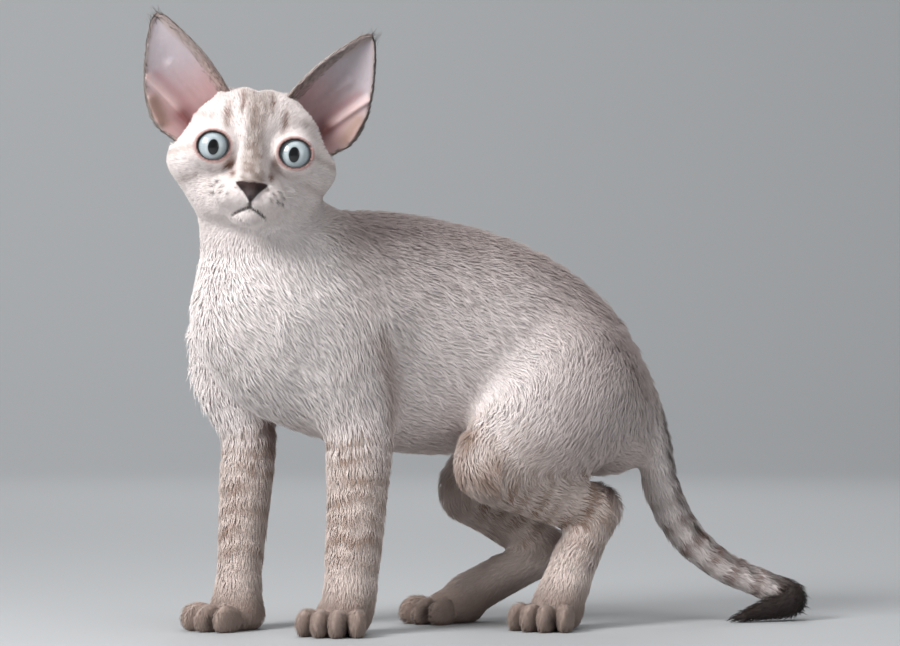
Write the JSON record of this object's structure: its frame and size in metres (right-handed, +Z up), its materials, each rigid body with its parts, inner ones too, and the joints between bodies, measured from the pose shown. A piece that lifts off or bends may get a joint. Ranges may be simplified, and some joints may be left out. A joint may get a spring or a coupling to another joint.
{
  "type": "cat",
  "caption": "Still life-size Devon Rex kitten with huge cupped ears, standing on bent hind legs, head turned to its left",
  "frame": {"origin": "middle of the model's bounding box seen from above, on the floor it stands on", "axes": "the body faces -Y, the kitten's own left is +X, up is +Z; the head is turned about 75 degrees from -Y towards +X"},
  "size_m": [0.1138, 0.3278, 0.2857],
  "materials": {
    "pale_coat": "short wavy pale cream coat",
    "back_coat": "short wavy grey-beige coat",
    "tail_coat": "darker ringed coat",
    "ear_skin": "thin soft pink skin with down",
    "eye": "wet pale blue eye"
  },
  "bodies": {
    "root": {"torso": "back_coat", "neck": "pale_coat", "head": "pale_coat", "foreleg_left": "pale_coat", "foreleg_right": "pale_coat", "forepaw_left": "pale_coat", "forepaw_right": "pale_coat", "hind_leg_left": "pale_coat", "hind_leg_right": "pale_coat", "hind_foot_left": "pale_coat", "hind_foot_right": "pale_coat", "tail_root": "back_coat", "tail_middle": "tail_coat", "tail_end": "tail_coat", "ear_left": "ear_skin", "ear_right": "ear_skin", "eye_left": "eye", "eye_right": "eye"}
  },
  "joints": []
}
